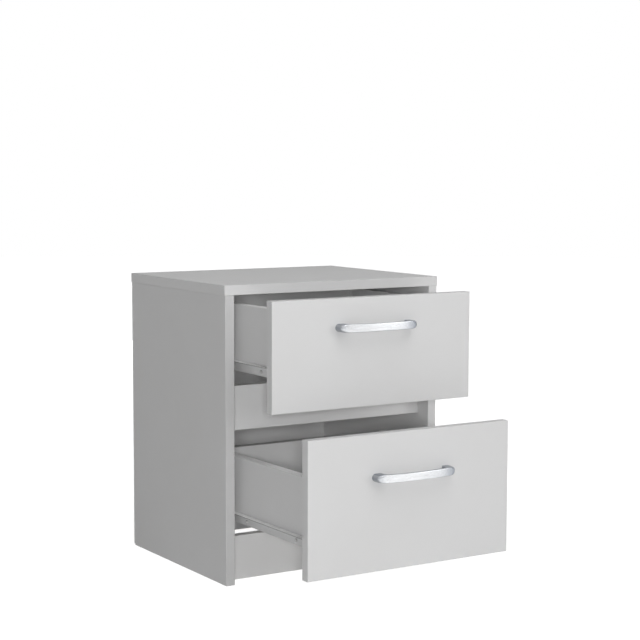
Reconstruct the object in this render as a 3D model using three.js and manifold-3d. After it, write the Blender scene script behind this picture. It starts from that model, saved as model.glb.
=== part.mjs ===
// Two-drawer nightstand in flat-pack melamine board, drawn with both drawers partly open.
// Millimetres. X runs to the right, Y into the cabinet, Z up, and the drawers open towards -Y.
import * as THREE from "three";
import { mergeVertices } from "three/addons/utils/BufferGeometryUtils.js";
import Module from "manifold-3d";

const wasm = await Module();
wasm.setup();

// Carcass
const overallWidth = 410;
const overallHeight = 480;
const overallDepth = 336;
const board = 16;
const boardEase = 0.5;
const topOverhang = 1;
const backThickness = 3;
const backFloorGap = 3;
const railHeight = 72;
const railRecess = 30;
const jointGap = 0.1;

// Drawer fronts: the gaps round them, and how the height left over is shared
const frontSideReveal = 1;
const topReveal = 1.5;
const frontsGap = 24.6;
const kickReveal = 52.9;
const upperFrontShare = 0.45;
const railBelowGap = 20.6;

// Drawer boxes, which are alike, and how far each drawer stands short of its stop
const upperBoxRise = 54.25;
const lowerBoxRise = 46.4;
const boxTopDrop = 14;
const boxRearClearance = 6.8;
const upperBeforeStop = 113;
const lowerBeforeStop = 9;
const bottomThickness = 3;
const bottomRise = 10;
const grooveDepth = 6;
const grooveClearance = 0.3;

// Roller runners
const runnerSpace = 12.7;
const runnerSetback = 2;
const runnerTail = 8.1;
const runnerOverlap = 72;
const runnerSheet = 1.2;
const runnerBend = 0.6;
const runnerFlangeRise = 15.8;
const runnerUnderLeg = 12;
const runnerWallClearance = 0.5;
const channelClearance = 0.5;
const channelLip = 2.6;
const channelTopFlange = 7;
const channelMouth = 2.2;
const rollerRadius = 7.5;
const rollerWidth = 6.4;
const rollerBevel = 0.8;
const rollerGap = 0.3;
const rollerEndGap = 0.4;
const rollerFromEnd = 10;
const rollerRelief = 2;
const axleRadius = 2.2;
const axleGap = 0.2;
const axleHeadRadius = 3.4;
const axleHead = 0.8;
const runnerHoleRadius = 2.1;
const runnerHoleRise = 6;
const runnerEndHole = 32;
const runnerHoleSpacing = 150;
const channelFirstHole = 37;
const channelHolePitch = 32;
const channelHoleSteps = [0, 3, 7];

// Bow handles and their screws
const handleCentres = 128;
const handleEnd = 9.2;
const handleProjection = 25;
const handleHeight = 12.5;
const handleThickness = 4.5;
const handleShoulder = 14.5;
const handleNose = 11;
const handleFaceFall = 5;
const handleFoot = 16;
const handleBevel = 1.6;
const handleInnerRadius = 10;
const upperHandleDrop = 46;
const lowerHandleDrop = 66.5;
const cornerPullShare = 0.83;
const screwRadius = 1.95;
const screwGap = 0.2;
const screwBite = 7.5;
const screwHeadRadius = 4.2;
const screwHead = 2.4;
const screwDrive = 1.6;

// Cam fittings and dowels
const camRadius = 7.5;
const camGap = 0.2;
const camLength = 12.2;
const camBoreDepth = 12.6;
const camFromEdge = 24;
const camSlot = 5;
const camPocket = 7.6;
const camPocketReach = 3.4;
const camDriveLength = 6;
const camDriveWidth = 1.2;
const camDriveDepth = 2.2;
const boltShankRadius = 3.2;
const boltNeckRadius = 2.1;
const boltNeck = 7;
const boltHeadRadius = 3.3;
const boltHead = 2.6;
const boltHole = 4;
const boltThreadRadius = 2.4;
const boltThread = 11;
const topFittingInset = 48;
const dowelInset = 80;
const dowelRadius = 3.9;
const dowelHoleRadius = 4.1;
const dowelInTop = 10.5;
const dowelInSide = 19.5;
const dowelEndGap = 0.4;
const dowelBevel = 0.8;

// One overrun serves all cuts that leave a face
const overrun = 2;

const roundFacets = 24;
const smallFacets = 12;
const bendFacets = 2;
const curveFacets = 8;

// Sizes that follow from those above
const sideOuter = overallWidth / 2 - topOverhang;
const sideInner = sideOuter - board;
const sideTop = overallHeight - board - jointGap;
const sideDepth = overallDepth - backThickness - jointGap;
const frontWidth = 2 * (sideInner - frontSideReveal);
const boxOuter = sideInner - runnerSpace;
const boxInner = boxOuter - board;
const runnerFront = board + runnerSetback;
const flangeUnder = runnerFlangeRise - runnerSheet;
const channelTop = flangeUnder - channelClearance;
const channelCeiling = channelTop - runnerSheet;
const channelFloor = channelCeiling - 2 * (rollerRadius + rollerGap);
const channelWall = runnerSpace - jointGap - runnerSheet;
const webOuter = jointGap + runnerSheet;
const frontRollerRise = flangeUnder - rollerGap - rollerRadius;
const rearRollerRise = channelFloor + rollerGap + rollerRadius;
const boxFront = board + jointGap;
const boxLength = sideDepth - boxRearClearance - boxFront;
const boxRear = boxFront + boxLength;
const runnerLength = boxRear - runnerTail - runnerFront;
const travel = runnerLength - runnerOverlap;
const handleLength = handleCentres + 2 * handleEnd;
const frontsHeight = overallHeight - board - topReveal - frontsGap - kickReveal;
const upperFrontHeight = upperFrontShare * frontsHeight;
const lowerFrontHeight = frontsHeight - upperFrontHeight;
const lowerFrontTop = kickReveal + lowerFrontHeight;
const middleRailBottom = lowerFrontTop - railBelowGap;
const boxSideHeight = upperFrontHeight - upperBoxRise - boxTopDrop;
const drawers = [
  {
    name: "upper",
    bottom: lowerFrontTop + frontsGap,
    height: upperFrontHeight,
    boxRise: upperBoxRise,
    handleDrop: upperHandleDrop,
    open: travel - upperBeforeStop,
  },
  {
    name: "lower",
    bottom: kickReveal,
    height: lowerFrontHeight,
    boxRise: lowerBoxRise,
    handleDrop: lowerHandleDrop,
    open: travel - lowerBeforeStop,
  },
];
const furthestOpen = Math.max(...drawers.map((drawer) => drawer.open));
const originSetback = (overallDepth - furthestOpen - jointGap - handleProjection) / 2;

// Finishes
function finish(color, roughness, metalness = 0) {
  return new THREE.MeshStandardMaterial({ color, roughness, metalness });
}
const melamine = () => finish(0xc9cac9, 0.5);
const edgeMelamine = () => finish(0xd3d3d2, 0.45);
const backBoard = () => finish(0xb9bab9, 0.7);
const runnerPaint = () => finish(0xc6c8c9, 0.4);
const rollerPlastic = () => finish(0xe4e3de, 0.5);
const satinNickel = () => finish(0xc9ccd0, 0.3, 1);
const zincPlate = () => finish(0x9a9da0, 0.45, 1);
const beech = () => finish(0xc89f6d, 0.8);

// Solids for cutting and joining
function toSolid(geometry) {
  const plain = geometry.clone();
  plain.deleteAttribute("normal");
  plain.deleteAttribute("uv");
  const merged = mergeVertices(plain);
  return new wasm.Manifold(
    new wasm.Mesh({
      numProp: merged.attributes.position.itemSize,
      vertProperties: merged.attributes.position.array,
      triVerts: new Uint32Array(merged.index.array),
    }),
  );
}

function toGeometry(solid) {
  const mesh = solid.getMesh();
  const geometry = new THREE.BufferGeometry();
  geometry.setAttribute("position", new THREE.BufferAttribute(mesh.vertProperties, mesh.numProp));
  geometry.setIndex(new THREE.BufferAttribute(mesh.triVerts, 1));
  geometry.computeVertexNormals();
  return geometry;
}

function joined(first, ...others) {
  return toGeometry(others.reduce((whole, next) => whole.add(toSolid(next)), toSolid(first)));
}

function cut(body, tools) {
  return toGeometry(tools.reduce((left, tool) => left.subtract(toSolid(tool)), toSolid(body)));
}

// A block between two corners.
function block(low, high) {
  const size = high.clone().sub(low);
  const middle = high.clone().add(low).multiplyScalar(0.5);
  return new THREE.BoxGeometry(size.x, size.y, size.z).translate(middle.x, middle.y, middle.z);
}

// A straight round bar from start to end along "x", "y" or "z", with its axis through the point at.
function bar(axis, radius, start, end, at, facets = smallFacets) {
  const round = new THREE.CylinderGeometry(radius, radius, end - start, facets);
  if (axis === "x") round.rotateZ(-Math.PI / 2);
  if (axis === "z") round.rotateX(Math.PI / 2);
  const middle = at.clone();
  middle[axis] = (start + end) / 2;
  return round.translate(middle.x, middle.y, middle.z);
}

// A turned piece from [radius, height] pairs that start and end on the axis, standing along +X.
function turned(profile, facets = smallFacets) {
  const points = profile.map(([radius, height]) => new THREE.Vector2(radius, height));
  return new THREE.LatheGeometry(points, facets).rotateZ(-Math.PI / 2);
}

// A board of the given size about its own centre, its face edges eased all round.
function easedBoard(size, ease = boardEase) {
  const thin = ["x", "y", "z"].reduce((best, axis) => (size[axis] < size[best] ? axis : best));
  const [width, height] = { x: [size.z, size.y], y: [size.x, size.z], z: [size.x, size.y] }[thin];
  const outline = new THREE.Shape();
  outline.moveTo(-width / 2, -height / 2);
  outline.lineTo(width / 2, -height / 2);
  outline.lineTo(width / 2, height / 2);
  outline.lineTo(-width / 2, height / 2);
  outline.closePath();
  const geometry = new THREE.ExtrudeGeometry(outline, {
    depth: size[thin] - 2 * ease,
    bevelThickness: ease,
    bevelSize: ease,
    bevelOffset: -ease,
    bevelSegments: 1,
  });
  geometry.translate(0, 0, ease - size[thin] / 2);
  if (thin === "x") geometry.rotateY(Math.PI / 2);
  if (thin === "y") geometry.rotateX(Math.PI / 2);
  return geometry;
}

function meshAt(name, geometry, material, centre) {
  const mesh = new THREE.Mesh(geometry, material);
  mesh.name = name;
  mesh.position.copy(centre);
  return mesh;
}

// A board between two corners of its group, with cuts given in the group's own coordinates.
function boardPiece(name, low, high, material, cuts = [], ease = boardEase) {
  const centre = low.clone().add(high).multiplyScalar(0.5);
  const whole = easedBoard(high.clone().sub(low), ease);
  const tools = cuts.map((tool) => tool.clone().translate(-centre.x, -centre.y, -centre.z));
  return meshAt(name, tools.length ? cut(whole, tools) : whole, material, centre);
}

const vec = (x, y, z) => new THREE.Vector3(x, y, z);

// Cam fitting. In its own frame the cam sits at the origin on the board's face, +Z goes down its
// bore, and +X runs along the bolt to the joint.
const boltDepth = board / 2;

function camGeometry() {
  const radius = camRadius - camGap;
  const at = vec(0, 0, 0);
  const body = bar("z", radius, 0, camLength, at, roundFacets);
  const slot = block(
    vec(0, -camSlot / 2, boltDepth - camSlot / 2),
    vec(camRadius + overrun, camSlot / 2, camLength + overrun),
  );
  const pocket = block(
    vec(-camPocketReach, -camPocket / 2, boltDepth - camPocket / 2),
    vec(camPocketReach, camPocket / 2, camLength + overrun),
  );
  const drives = [
    block(
      vec(-camDriveLength / 2, -camDriveWidth / 2, -overrun),
      vec(camDriveLength / 2, camDriveWidth / 2, camDriveDepth),
    ),
    block(
      vec(-camDriveWidth / 2, -camDriveLength / 2, -overrun),
      vec(camDriveWidth / 2, camDriveLength / 2, camDriveDepth),
    ),
  ];
  return cut(body, [slot, pocket, ...drives]);
}

// The bolt's head stands in the cam's pocket and its threaded end is screwed into the far board.
function boltGeometry() {
  const headEnd = boltHead / 2;
  const neckEnd = headEnd + boltNeck;
  const shankEnd = camFromEdge - jointGap;
  const threadEnd = camFromEdge + jointGap + boltThread;
  return turned([
    [0, -headEnd],
    [boltHeadRadius, -headEnd],
    [boltHeadRadius, headEnd],
    [boltNeckRadius, headEnd],
    [boltNeckRadius, neckEnd],
    [boltShankRadius, neckEnd],
    [boltShankRadius, shankEnd],
    [boltThreadRadius, shankEnd],
    [boltThreadRadius, threadEnd],
    [0, threadEnd],
  ]).translate(0, 0, boltDepth);
}

function camFittings(spots) {
  return spots.map(({ name, at, bolt, depth }) => {
    const frame = new THREE.Matrix4().makeBasis(bolt, depth.clone().cross(bolt), depth);
    frame.setPosition(at);
    const place = (geometry) => geometry.applyMatrix4(frame);
    const axis = vec(0, 0, boltDepth);
    const centre = vec(0, 0, 0);
    const near = [
      place(bar("z", camRadius, -overrun, camBoreDepth, centre, roundFacets)),
      place(bar("x", boltHole, 0, camFromEdge + overrun, axis)),
    ];
    const threadEnd = camFromEdge + boltThread + dowelEndGap;
    const far = [place(bar("x", boltThreadRadius + screwGap, camFromEdge - overrun, threadEnd, axis))];
    const cam = meshAt(name + "_cam", camGeometry(), zincPlate(), centre);
    const screw = meshAt(name + "_cam_bolt", boltGeometry(), zincPlate(), centre);
    cam.applyMatrix4(frame);
    screw.applyMatrix4(frame);
    return { name, near, far, pieces: [cam, screw] };
  });
}

const sides = [
  { side: "left", hand: -1 },
  { side: "right", hand: 1 },
];

// Four fittings draw the top down on the side panels, two on each.
function topFittings() {
  return sides.flatMap(({ side, hand }) =>
    [
      { end: "front", y: topFittingInset },
      { end: "rear", y: sideDepth - topFittingInset },
    ].map(({ end, y }) => ({
      name: "top_" + side + "_" + end,
      at: vec(hand * sideInner, y, sideTop - camFromEdge),
      bolt: vec(0, 0, 1),
      depth: vec(hand, 0, 0),
    })),
  );
}

// One fitting in each end of a rail draws the side panel on, its cam on the rail's hidden rear face.
function railFittings(rail, bottom) {
  return sides.map(({ side, hand }) => ({
    name: rail + "_" + side,
    at: vec(hand * (sideInner - camFromEdge), railRecess + board, bottom + railHeight / 2),
    bolt: vec(hand, 0, 0),
    depth: vec(0, -1, 0),
  }));
}

// Dowels between the side panels and the top.
function dowelSpots() {
  return sides.flatMap(({ side, hand }) =>
    [
      { end: "front", y: dowelInset },
      { end: "rear", y: sideDepth - dowelInset },
    ].map(({ end, y }) => ({
      name: side + "_" + end + "_dowel",
      at: vec(hand * (sideInner + board / 2), y, sideTop),
    })),
  );
}

function dowelGeometry() {
  const length = dowelInTop + dowelInSide;
  return turned([
    [0, 0],
    [dowelRadius - dowelBevel, 0],
    [dowelRadius, dowelBevel],
    [dowelRadius, length - dowelBevel],
    [dowelRadius - dowelBevel, length],
    [0, length],
  ]).rotateY(-Math.PI / 2);
}

function carcass() {
  const group = new THREE.Group();
  const top = camFittings(topFittings());
  const middle = camFittings(railFittings("middle_rail", middleRailBottom));
  const kick = camFittings(railFittings("kick_rail", 0));
  const dowels = dowelSpots();
  const dowelHoles = dowels.map(({ at }) =>
    bar("z", dowelHoleRadius, at.z - dowelInSide - dowelEndGap, at.z + dowelInTop + dowelEndGap, at),
  );

  const topLow = vec(-overallWidth / 2, 0, overallHeight - board);
  const topHigh = vec(overallWidth / 2, overallDepth, overallHeight);
  const topCuts = [...top.flatMap((fitting) => fitting.far), ...dowelHoles];
  group.add(boardPiece("top_panel", topLow, topHigh, edgeMelamine(), topCuts));

  sides.forEach(({ side, hand }) => {
    const low = vec(Math.min(hand * sideInner, hand * sideOuter), 0, 0);
    const high = vec(Math.max(hand * sideInner, hand * sideOuter), sideDepth, sideTop);
    const near = top.filter(({ name }) => name.includes(side)).flatMap((fitting) => fitting.near);
    const far = [...middle, ...kick]
      .filter(({ name }) => name.endsWith(side))
      .flatMap((fitting) => fitting.far);
    const holes = dowelHoles.filter((hole, index) => dowels[index].name.startsWith(side));
    group.add(boardPiece(side + "_side_panel", low, high, melamine(), [...near, ...far, ...holes]));
  });

  const backLow = vec(-sideOuter, overallDepth - backThickness, backFloorGap);
  const backHigh = vec(sideOuter, overallDepth, overallHeight - board - jointGap);
  group.add(boardPiece("back_panel", backLow, backHigh, backBoard(), [], jointGap));

  [
    { name: "middle_rail", bottom: middleRailBottom, fittings: middle },
    { name: "kick_rail", bottom: 0, fittings: kick },
  ].forEach(({ name, bottom, fittings }) => {
    const low = vec(jointGap - sideInner, railRecess, bottom);
    const high = vec(sideInner - jointGap, railRecess + board, bottom + railHeight);
    group.add(boardPiece(name, low, high, melamine(), fittings.flatMap((fitting) => fitting.near)));
  });

  [...top, ...middle, ...kick].forEach((fitting) => group.add(...fitting.pieces));
  dowels.forEach(({ name, at }) => {
    const foot = at.clone().setZ(at.z - dowelInSide);
    group.add(meshAt(name, dowelGeometry(), beech(), foot));
  });
  return group;
}

// Outline of a bent sheet: a centre line given by its corners, rounded at each bend and thickened.
function formedSheet(corners, sheet, bend) {
  const radius = bend + sheet / 2;
  const line = [];
  corners.forEach((corner, index) => {
    const here = new THREE.Vector2(...corner);
    const before = corners[index - 1] && new THREE.Vector2(...corners[index - 1]);
    const after = corners[index + 1] && new THREE.Vector2(...corners[index + 1]);
    const into = before ? here.clone().sub(before).normalize() : null;
    const out = after ? after.clone().sub(here).normalize() : null;
    if (!into || !out) {
      const along = into || out;
      line.push({ point: here, normal: new THREE.Vector2(-along.y, along.x) });
      return;
    }
    const turn = Math.atan2(into.cross(out), into.dot(out));
    const hand = Math.sign(turn);
    const reach = radius * Math.tan(Math.abs(turn) / 2);
    const start = here.clone().addScaledVector(into, -reach);
    const toCentre = new THREE.Vector2(-into.y, into.x).multiplyScalar(hand);
    const centre = start.clone().addScaledVector(toCentre, radius);
    for (let step = 0; step <= bendFacets; step += 1) {
      const spoke = toCentre.clone().negate().rotateAround(new THREE.Vector2(), (turn * step) / bendFacets);
      line.push({
        point: centre.clone().addScaledVector(spoke, radius),
        normal: spoke.clone().multiplyScalar(-hand),
      });
    }
  });
  const left = line.map(({ point, normal }) => point.clone().addScaledVector(normal, sheet / 2));
  const right = line.map(({ point, normal }) => point.clone().addScaledVector(normal, -sheet / 2));
  return [...left, ...right.reverse()];
}

// A bent sheet drawn as [outward from the drawer's side, up from its bottom edge], run along +Y.
function runnerProfile(corners, hand) {
  const outline = formedSheet(corners, runnerSheet, runnerBend);
  const shape = new THREE.Shape(outline.map((p) => new THREE.Vector2(hand * (boxOuter + p.x), p.y)));
  const geometry = new THREE.ExtrudeGeometry(shape, { depth: runnerLength, bevelEnabled: false });
  return geometry.rotateX(Math.PI / 2).translate(0, runnerLength, 0);
}

function axle(hand, from, to, headFrom, headTo, y, z) {
  const spans = [
    { radius: axleRadius, a: from, b: to },
    { radius: axleHeadRadius, a: headFrom, b: headTo },
  ];
  return spans.map(({ radius, a, b }) => {
    const ends = [hand * (boxOuter + a), hand * (boxOuter + b)].sort((p, q) => p - q);
    return bar("x", radius, ends[0], ends[1], vec(0, y, z));
  });
}

const rollerOuterEnd = channelWall - rollerEndGap;
const rollerInnerEnd = rollerOuterEnd - rollerWidth;

// The drawer's half of a runner: under and beside the box's side, with a flange that runs on the
// cabinet's front roller, and an axle for its own roller at the rear.
function drawerRunner(hand) {
  const legLevel = -jointGap - runnerSheet / 2;
  const web = jointGap + runnerSheet / 2;
  const flangeEnd = channelWall - runnerWallClearance;
  const profile = runnerProfile(
    [
      [-runnerUnderLeg, legLevel],
      [web, legLevel],
      [web, runnerFlangeRise - runnerSheet / 2],
      [flangeEnd, runnerFlangeRise - runnerSheet / 2],
    ],
    hand,
  );
  const y = runnerLength - rollerFromEnd;
  const shoulder = rollerInnerEnd - rollerEndGap;
  const pins = [
    ...axle(hand, jointGap, rollerOuterEnd + axleGap, jointGap, shoulder, y, rearRollerRise),
  ];
  const holesAt = [runnerEndHole, runnerEndHole + runnerHoleSpacing, runnerLength - runnerEndHole];
  const holes = holesAt.map((from) => {
    const at = vec(0, from, runnerHoleRise);
    const ends = [hand * boxOuter, hand * (boxOuter + webOuter + overrun)].sort((p, q) => p - q);
    return bar("x", runnerHoleRadius, ends[0], ends[1], at);
  });
  return joined(cut(profile, holes), ...pins);
}

// The cabinet's half: a channel that the drawer's rear roller runs in, with the front roller's axle.
function cabinetRunner(hand) {
  const wall = channelWall + runnerSheet / 2;
  const floor = channelFloor - runnerSheet / 2;
  const ceiling = channelCeiling + runnerSheet / 2;
  const profile = runnerProfile(
    [
      [channelMouth + runnerSheet / 2, channelFloor + channelLip - runnerSheet],
      [channelMouth + runnerSheet / 2, floor],
      [wall, floor],
      [wall, ceiling],
      [wall - channelTopFlange, ceiling],
    ],
    hand,
  );
  const relief = rollerFromEnd + rollerRadius + rollerRelief;
  const inner = hand * (boxOuter - overrun);
  const outer = hand * (boxOuter + channelWall);
  const mouth = block(
    vec(Math.min(inner, outer), -overrun, channelCeiling - runnerBend),
    vec(Math.max(inner, outer), relief, channelTop + overrun),
  );
  const holes = channelHoleSteps.map((step) => {
    const from = channelFirstHole + step * channelHolePitch;
    const at = vec(0, from, (channelFloor + channelCeiling) / 2);
    const ends = [channelWall - overrun, runnerSpace + overrun];
    const across = ends.map((end) => hand * (boxOuter + end)).sort((p, q) => p - q);
    return bar("x", runnerHoleRadius, across[0], across[1], at);
  });
  const pins = axle(
    hand,
    rollerInnerEnd - rollerEndGap,
    channelWall + runnerSheet,
    rollerInnerEnd - rollerEndGap - axleHead,
    rollerInnerEnd - rollerEndGap,
    rollerFromEnd,
    frontRollerRise,
  );
  return joined(cut(profile, [mouth, ...holes]), ...pins);
}

// A roller about its own centre, with an eased tread and a bore for its axle.
function rollerGeometry() {
  const half = rollerWidth / 2;
  const bore = axleRadius + axleGap;
  const points = [
    [bore, -half],
    [rollerRadius - rollerBevel, -half],
    [rollerRadius, rollerBevel - half],
    [rollerRadius, half - rollerBevel],
    [rollerRadius - rollerBevel, half],
    [bore, half],
    [bore, -half],
  ].map(([radius, height]) => new THREE.Vector2(radius, height));
  return new THREE.LatheGeometry(points, roundFacets).rotateZ(-Math.PI / 2);
}

function rollerAt(name, hand, y, z) {
  const middle = hand * (boxOuter + (rollerInnerEnd + rollerOuterEnd) / 2);
  return meshAt(name, rollerGeometry(), rollerPlastic(), vec(middle, y, z));
}

// Plan outline of a bow handle, drawn as [along the drawer front, out from it].
function handleOutline() {
  const end = handleLength / 2;
  const face = end - handleShoulder;
  const edge = handleProjection - handleFaceFall;
  const fallRate = (2 * handleFaceFall) / face;
  const inside = end - handleFoot;
  const insideFace = inside - handleInnerRadius;
  const insideTop = handleProjection - handleThickness;
  const insideFall = handleFaceFall * (insideFace / face) ** 2;
  const insideEdge = insideTop - insideFall;
  const insideRate = (2 * insideFall) / insideFace;
  const pull = cornerPullShare * (end - face);
  const insidePull = cornerPullShare * handleInnerRadius;
  const shape = new THREE.Shape();
  shape.moveTo(-end, 0);
  shape.bezierCurveTo(
    -end,
    cornerPullShare * edge,
    -face - pull,
    edge - pull * fallRate,
    -face,
    edge,
  );
  shape.quadraticCurveTo(0, handleProjection + handleFaceFall, face, edge);
  shape.bezierCurveTo(face + pull, edge - pull * fallRate, end, cornerPullShare * edge, end, 0);
  shape.lineTo(inside, 0);
  shape.bezierCurveTo(
    inside,
    cornerPullShare * insideEdge,
    insideFace + insidePull,
    insideEdge - insidePull * insideRate,
    insideFace,
    insideEdge,
  );
  shape.quadraticCurveTo(0, insideTop + insideFall, -insideFace, insideEdge);
  shape.bezierCurveTo(
    -insideFace - insidePull,
    insideEdge - insidePull * insideRate,
    -inside,
    cornerPullShare * insideEdge,
    -inside,
    0,
  );
  shape.closePath();
  return shape;
}

// The front view of a bow handle, a bar with oval ends, run along Y past its seat and its face.
function ovalEnds() {
  const half = handleHeight / 2;
  const straight = handleLength / 2 - handleNose;
  const outline = new THREE.Shape();
  outline.moveTo(-straight, -half);
  outline.lineTo(straight, -half);
  outline.absellipse(straight, 0, handleNose, half, -Math.PI / 2, Math.PI / 2);
  outline.lineTo(-straight, half);
  outline.absellipse(-straight, 0, handleNose, half, Math.PI / 2, 1.5 * Math.PI);
  const run = new THREE.ExtrudeGeometry(outline, {
    depth: handleProjection + 2 * overrun,
    bevelEnabled: false,
    curveSegments: curveFacets,
  });
  return run.rotateX(Math.PI / 2).translate(0, overrun, 0);
}

// A bow handle about the middle of its seat, standing out towards -Y, with a blind hole in each foot.
function handleGeometry() {
  const bow = new THREE.ExtrudeGeometry(handleOutline(), {
    depth: handleHeight - 2 * handleBevel,
    bevelThickness: handleBevel,
    bevelSize: handleBevel,
    bevelOffset: -handleBevel,
    bevelSegments: 2,
    curveSegments: curveFacets,
  });
  bow.translate(0, 0, handleBevel - handleHeight / 2).rotateX(Math.PI);
  const holes = sides.map(({ hand }) => {
    const at = vec((hand * handleCentres) / 2, 0, 0);
    return bar("y", screwRadius + screwGap, -screwBite - dowelEndGap, overrun, at);
  });
  const drawn = toGeometry(toSolid(bow).intersect(toSolid(ovalEnds())));
  return cut(drawn, holes);
}

// A pan-head screw along +X from the underside of its head.
function screwGeometry() {
  const reach = board + jointGap + screwBite;
  const body = turned([
    [0, -screwHead],
    [screwHeadRadius - screwHead / 2, -screwHead],
    [screwHeadRadius, -screwHead / 2],
    [screwHeadRadius, 0],
    [screwRadius, 0],
    [screwRadius, reach],
    [0, reach],
  ]);
  const half = screwDrive / 2;
  const arm = screwHeadRadius / 2;
  const bottom = screwDrive - screwHead;
  return cut(body, [
    block(vec(-screwHead - overrun, -arm, -half / 2), vec(bottom, arm, half / 2)),
    block(vec(-screwHead - overrun, -half / 2, -arm), vec(bottom, half / 2, arm)),
  ]);
}

// A drawer in its own group: Y is 0 at the face of its front, Z is 0 at the bottom of its box sides.
function drawerGroup({ name, height, boxRise, handleDrop }) {
  const group = new THREE.Group();
  const frontBottom = -boxRise;
  const frontTop = height - boxRise;
  const handleLevel = frontTop - handleDrop;
  const panelHalf = boxInner + grooveDepth - grooveClearance;
  const grooveBottom = bottomRise - grooveClearance;
  const grooveTop = bottomRise + bottomThickness + grooveClearance;

  const screwHoles = sides.map(({ hand }) => {
    const at = vec((hand * handleCentres) / 2, 0, handleLevel);
    return bar("y", screwRadius + screwGap, -overrun, board + overrun, at);
  });
  const frontGroove = block(
    vec(-boxInner - grooveDepth, board - grooveDepth, grooveBottom),
    vec(boxInner + grooveDepth, board + overrun, grooveTop),
  );
  const frontLow = vec(-frontWidth / 2, 0, frontBottom);
  const frontHigh = vec(frontWidth / 2, board, frontTop);
  const frontCuts = [...screwHoles, frontGroove];
  group.add(boardPiece(name + "_drawer_front", frontLow, frontHigh, edgeMelamine(), frontCuts));

  sides.forEach(({ side, hand }) => {
    const low = vec(Math.min(hand * boxInner, hand * boxOuter), boxFront, 0);
    const high = vec(Math.max(hand * boxInner, hand * boxOuter), boxRear, boxSideHeight);
    const grooveNear = hand * (boxInner - overrun);
    const grooveFar = hand * (boxInner + grooveDepth);
    const groove = block(
      vec(Math.min(grooveNear, grooveFar), boxFront - overrun, grooveBottom),
      vec(Math.max(grooveNear, grooveFar), boxRear + overrun, grooveTop),
    );
    group.add(boardPiece(name + "_drawer_" + side + "_side", low, high, melamine(), [groove]));
  });

  const rearLow = vec(jointGap - boxInner, boxRear - board, grooveTop);
  const rearHigh = vec(boxInner - jointGap, boxRear, boxSideHeight);
  group.add(boardPiece(name + "_drawer_rear", rearLow, rearHigh, melamine()));

  const bottomLow = vec(-panelHalf, board - grooveDepth + grooveClearance, bottomRise);
  const bottomHigh = vec(panelHalf, boxRear, bottomRise + bottomThickness);
  const bottomName = name + "_drawer_bottom";
  group.add(boardPiece(bottomName, bottomLow, bottomHigh, backBoard(), [], jointGap));

  group.add(meshAt(name + "_handle", handleGeometry(), satinNickel(), vec(0, -jointGap, handleLevel)));
  sides.forEach(({ side, hand }) => {
    const seat = vec((hand * handleCentres) / 2, board + jointGap, handleLevel);
    const screw = meshAt(name + "_handle_" + side + "_screw", screwGeometry(), zincPlate(), seat);
    screw.rotation.z = -Math.PI / 2;
    group.add(screw);
  });

  sides.forEach(({ side, hand }) => {
    const prefix = name + "_" + side;
    const seat = vec(0, runnerFront, 0);
    group.add(meshAt(prefix + "_drawer_runner", drawerRunner(hand), runnerPaint(), seat));
    const axleY = runnerFront + runnerLength - rollerFromEnd;
    group.add(rollerAt(prefix + "_rear_roller", hand, axleY, rearRollerRise));
  });
  return group;
}

// What stays on the side panels for one drawer: two channels, each with its front roller.
function cabinetRunners({ name }) {
  const group = new THREE.Group();
  sides.forEach(({ side, hand }) => {
    const prefix = name + "_" + side;
    const seat = vec(0, runnerFront, 0);
    group.add(meshAt(prefix + "_cabinet_runner", cabinetRunner(hand), runnerPaint(), seat));
    const axleY = runnerFront + rollerFromEnd;
    group.add(rollerAt(prefix + "_front_roller", hand, axleY, frontRollerRise));
  });
  return group;
}

const nightstand = new THREE.Group();
nightstand.position.y = -originSetback;
nightstand.add(carcass());
drawers.forEach((drawer) => {
  const level = drawer.bottom + drawer.boxRise;
  const moving = drawerGroup(drawer);
  moving.position.set(0, -drawer.open, level);
  const fixed = cabinetRunners(drawer);
  fixed.position.set(0, 0, level);
  nightstand.add(moving, fixed);
});

export default nightstand;
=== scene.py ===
"""Looks of the two-drawer nightstand: materials, finer handles, small fasteners, floor, light and
camera. All sizes and places are in metres, and y runs towards the back."""

import math

import bmesh
import bpy
from mathutils import Matrix, Vector

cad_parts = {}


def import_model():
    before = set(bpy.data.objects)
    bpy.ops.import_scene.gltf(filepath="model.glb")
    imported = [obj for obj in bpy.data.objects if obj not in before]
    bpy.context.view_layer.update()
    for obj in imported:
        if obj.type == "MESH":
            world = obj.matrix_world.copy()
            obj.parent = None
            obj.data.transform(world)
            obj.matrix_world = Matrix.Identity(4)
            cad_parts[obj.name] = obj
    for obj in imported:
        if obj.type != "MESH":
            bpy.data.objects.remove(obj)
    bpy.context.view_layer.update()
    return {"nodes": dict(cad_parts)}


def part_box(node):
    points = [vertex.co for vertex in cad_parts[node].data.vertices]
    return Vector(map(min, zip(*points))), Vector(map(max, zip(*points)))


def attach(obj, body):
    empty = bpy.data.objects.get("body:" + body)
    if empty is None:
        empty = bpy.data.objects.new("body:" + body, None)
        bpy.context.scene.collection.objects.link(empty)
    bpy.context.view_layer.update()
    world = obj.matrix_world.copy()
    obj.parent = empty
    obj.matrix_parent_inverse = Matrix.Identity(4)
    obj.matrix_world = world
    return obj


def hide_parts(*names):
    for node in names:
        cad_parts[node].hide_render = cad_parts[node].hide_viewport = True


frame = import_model()
nodes = frame["nodes"]

# Each side goes with the sign of its x
SIDES = (("left", -1), ("right", 1))
DRAWERS = ("upper", "lower")

# Display values of the white melamine, board by board: one board colour in lit and shaded copies,
# painted shade making the side panels and rear boards darker and painted light making the rails
# lighter
FRONT_VALUE = 0.895
BOX_VALUE = 0.893
RIGHT_SHADED_VALUE = 0.885
LEFT_SHADED_VALUE = 0.875
REAR_SHADED_VALUE = 0.85
RAIL_LIT_VALUE = 0.93
KICK_LIT_VALUE = 0.92
# Painted shade on the left side panel's front edge and painted light on the box boards' top edges
LEFT_SHADED_EDGE_VALUE = 0.83
TOP_LIT_EDGE_VALUE = 0.985
CLOUD_CHANGE = 0.006
SPECK_CHANGE = 0.10

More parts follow.
